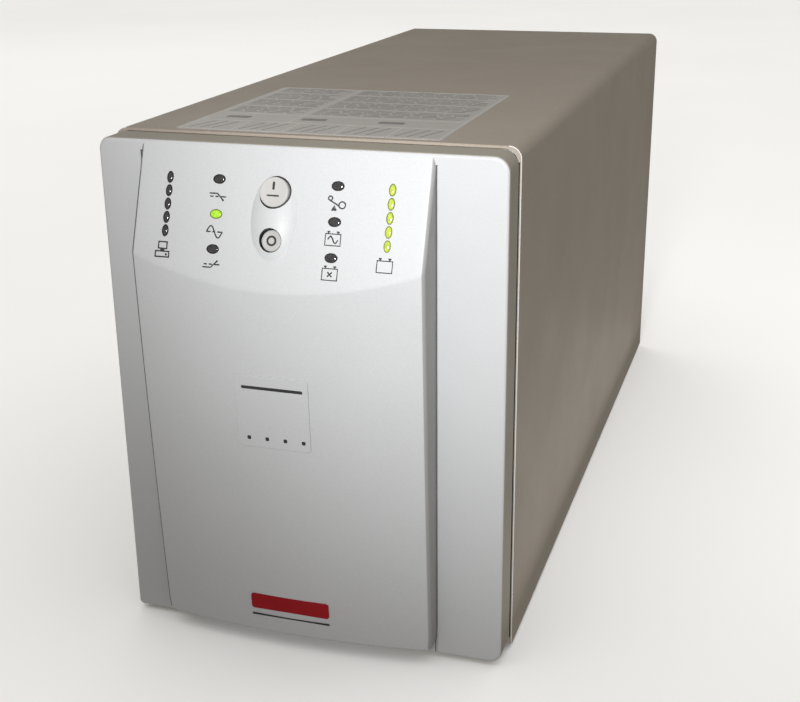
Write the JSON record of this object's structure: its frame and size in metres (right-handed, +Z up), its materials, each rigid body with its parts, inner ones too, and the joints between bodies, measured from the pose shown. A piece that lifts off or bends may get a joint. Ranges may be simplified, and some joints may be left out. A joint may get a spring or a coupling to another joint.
{
  "type": "uninterruptible power supply",
  "caption": "Tower uninterruptible power supply: steel case, moulded front bezel with indicator columns and push buttons, slide-out battery pack, rear mains outlets.",
  "frame": {"origin": "middle of the bounding box's footprint, on the ground under the feet", "axes": "+Z up, the front with the display faces -Y, +X is to the right seen from the front"},
  "size_m": [0.17, 0.439, 0.216],
  "materials": {
    "cover_paint": "fine satin paint",
    "bezel_plastic": "fine spark-eroded grain",
    "button_plastic": "smooth satin",
    "zinc_steel": "zinc plated",
    "bright_steel": "nickel plated",
    "black_plastic": "satin",
    "smoked_lens": "unlit indicator",
    "green_lens": "lit indicator",
    "circuit_board": "solder mask",
    "battery_case": "moulded",
    "rubber": "matte",
    "copper_winding": "enamelled copper",
    "core_steel": "varnished laminations",
    "aluminium": "extruded",
    "strap_plastic": "clear film",
    "plug_grey": "moulded",
    "red_wire": "insulation",
    "capacitor_sleeve": "shrink sleeve",
    "slot_paint": "satin paint"
  },
  "bodies": {
    "case": {"chassis_base": "zinc_steel", "rear_panel": "zinc_steel", "front_bulkhead": "zinc_steel", "battery_shelf": "zinc_steel", "outer_cover": "cover_paint", "foot_1": "rubber", "foot_2": "rubber", "foot_3": "rubber", "foot_4": "rubber", "display_board": "circuit_board", "transformer_core": "core_steel", "transformer_winding": "copper_winding", "transformer_bracket": "zinc_steel", "main_board": "circuit_board", "heat_sink_1": "aluminium", "heat_sink_2": "aluminium", "capacitor_1": "capacitor_sleeve", "capacitor_2": "capacitor_sleeve", "capacitor_3": "capacitor_sleeve", "capacitor_4": "capacitor_sleeve", "relay_1": "black_plastic", "relay_2": "black_plastic", "fan_frame": "black_plastic", "fan_grille": "black_plastic", "outlet_1": "black_plastic", "outlet_2": "black_plastic", "outlet_3": "black_plastic", "outlet_4": "black_plastic", "outlet_5": "black_plastic", "outlet_6": "black_plastic", "outlet_7": "black_plastic", "outlet_8": "black_plastic", "ac_inlet": "black_plastic", "serial_port": "bright_steel", "usb_port": "bright_steel", "breaker_body": "black_plastic", "slot_cover": "slot_paint", "slot_thumbscrew_1": "bright_steel", "slot_thumbscrew_2": "bright_steel", "cover_screw_1": "bright_steel", "cover_screw_2": "bright_steel", "ground_screw": "bright_steel"},
    "bezel": {"front_bezel": "bezel_plastic", "light_pipe_load": "smoked_lens", "light_pipe_status_left": "smoked_lens", "light_pipe_status_right": "smoked_lens", "light_pipe_battery": "green_lens"},
    "door": {"battery_door": "zinc_steel", "battery_door_screw_1": "bright_steel", "battery_door_screw_2": "bright_steel"},
    "battery_pack": {"battery_front": "battery_case", "battery_rear": "battery_case", "battery_strap": "strap_plastic", "battery_plug": "plug_grey", "battery_link": "red_wire"},
    "on_button": {"on_button": "button_plastic"},
    "off_button": {"off_button": "button_plastic"},
    "breaker_button": {"breaker_button": "black_plastic"},
    "fan_rotor": {"fan_rotor": "black_plastic"}
  },
  "joints": [
    {"name": "battery_pack_slide", "type": "slide", "parent": "case", "child": "battery_pack", "axis": [0, -1, 0], "range_m": [0, 0.18]},
    {"name": "bezel_pull", "type": "slide", "parent": "case", "child": "bezel", "axis": [0, -1, 0], "range_m": [0, 0.3]},
    {"name": "battery_door_pull", "type": "slide", "parent": "case", "child": "door", "axis": [0, -1, 0], "range_m": [0, 0.24]},
    {"name": "on_button_press", "type": "slide", "parent": "bezel", "child": "on_button", "axis": [0, 0.9348, -0.3552], "range_m": [0, 0.0015], "stiffness_N_per_m": 1000, "springref_m": -0.001},
    {"name": "off_button_press", "type": "slide", "parent": "bezel", "child": "off_button", "axis": [0, 0.9348, -0.3552], "range_m": [0, 0.0015], "stiffness_N_per_m": 1000, "springref_m": -0.001},
    {"name": "breaker_reset", "type": "slide", "parent": "case", "child": "breaker_button", "axis": [0, 1, 0], "range_m": [0, 0.0035]},
    {"name": "fan_spin", "type": "hinge", "parent": "case", "child": "fan_rotor", "pos_m": [-0.036, 0.196, 0.125], "axis": [0, 1, 0], "continuous": true}
  ],
  "couplings": [
    {"joint": "bezel_pull", "follows": "battery_pack_slide", "ratio": 1.6666},
    {"joint": "battery_door_pull", "follows": "battery_pack_slide", "ratio": 1.3333}
  ]
}
